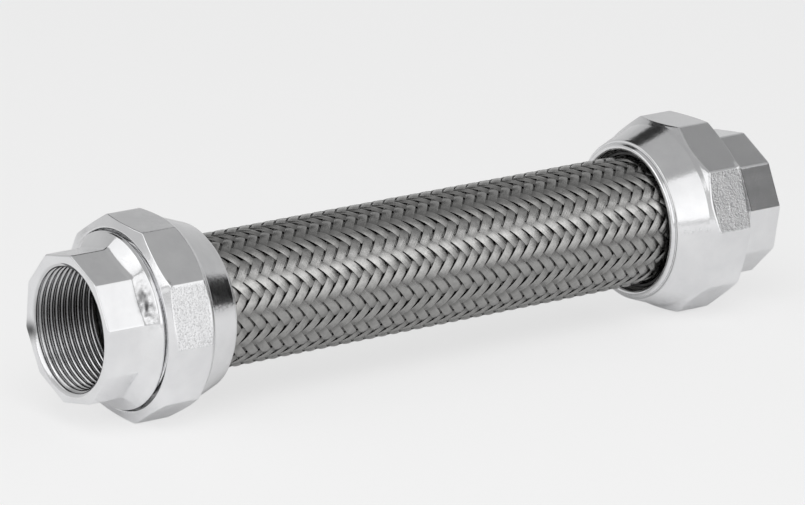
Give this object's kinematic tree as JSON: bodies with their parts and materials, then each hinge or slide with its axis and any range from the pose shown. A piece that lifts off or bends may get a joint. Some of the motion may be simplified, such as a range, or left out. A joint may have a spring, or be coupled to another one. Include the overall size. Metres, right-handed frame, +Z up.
{
  "type": "flexible metal hose",
  "caption": "Straight braided stainless steel flexible hose with a many sided union nut and a female threaded end at each end, for joining pipes and valves.",
  "frame": {"origin": "on the ground under the middle of the hose, at the height of the lowest corner of the union nuts", "axes": "+X along the hose from the left union to the right one, +Z up, -Y towards the viewer"},
  "size_m": [0.306, 0.0768, 0.0749],
  "materials": {
    "plated_iron": "bright plated malleable iron, smooth turned faces and fine cast grain on some flats",
    "steel_braid": "bright stainless wire, slightly warm",
    "stainless_steel": "plain stainless steel, dull inside",
    "gasket_fibre": "matt dark sealing fibre"
  },
  "bodies": {
    "hose": {"braid": "steel_braid", "corrugated_hose": "stainless_steel", "ferrule_left": "stainless_steel", "ferrule_right": "stainless_steel", "hose_collar_left": "stainless_steel", "hose_collar_right": "stainless_steel", "gasket_left": "gasket_fibre", "gasket_right": "gasket_fibre"},
    "nut_left": {"union_nut_left": "plated_iron"},
    "nut_right": {"union_nut_right": "plated_iron"},
    "end_left": {"threaded_end_left": "plated_iron"},
    "end_right": {"threaded_end_right": "plated_iron"}
  },
  "joints": [
    {"name": "nut_left_turn", "type": "hinge", "parent": "hose", "child": "nut_left", "pos_m": [-0.1155, 0, 0.03744], "axis": [1, 0, 0], "range_deg": [0, 2160]},
    {"name": "end_left_travel", "type": "slide", "parent": "hose", "child": "end_left", "axis": [-1, 0, 0], "range_m": [0, 0.01405]},
    {"name": "nut_right_turn", "type": "hinge", "parent": "hose", "child": "nut_right", "pos_m": [0.1155, 0, 0.03744], "axis": [-1, 0, 0], "range_deg": [0, 2160]},
    {"name": "end_right_travel", "type": "slide", "parent": "hose", "child": "end_right", "axis": [1, 0, 0], "range_m": [0, 0.01405]}
  ],
  "couplings": [
    {"joint": "end_left_travel", "follows": "nut_left_turn", "m_per_rad": 0.00036749},
    {"joint": "end_right_travel", "follows": "nut_right_turn", "m_per_rad": 0.00036749}
  ]
}
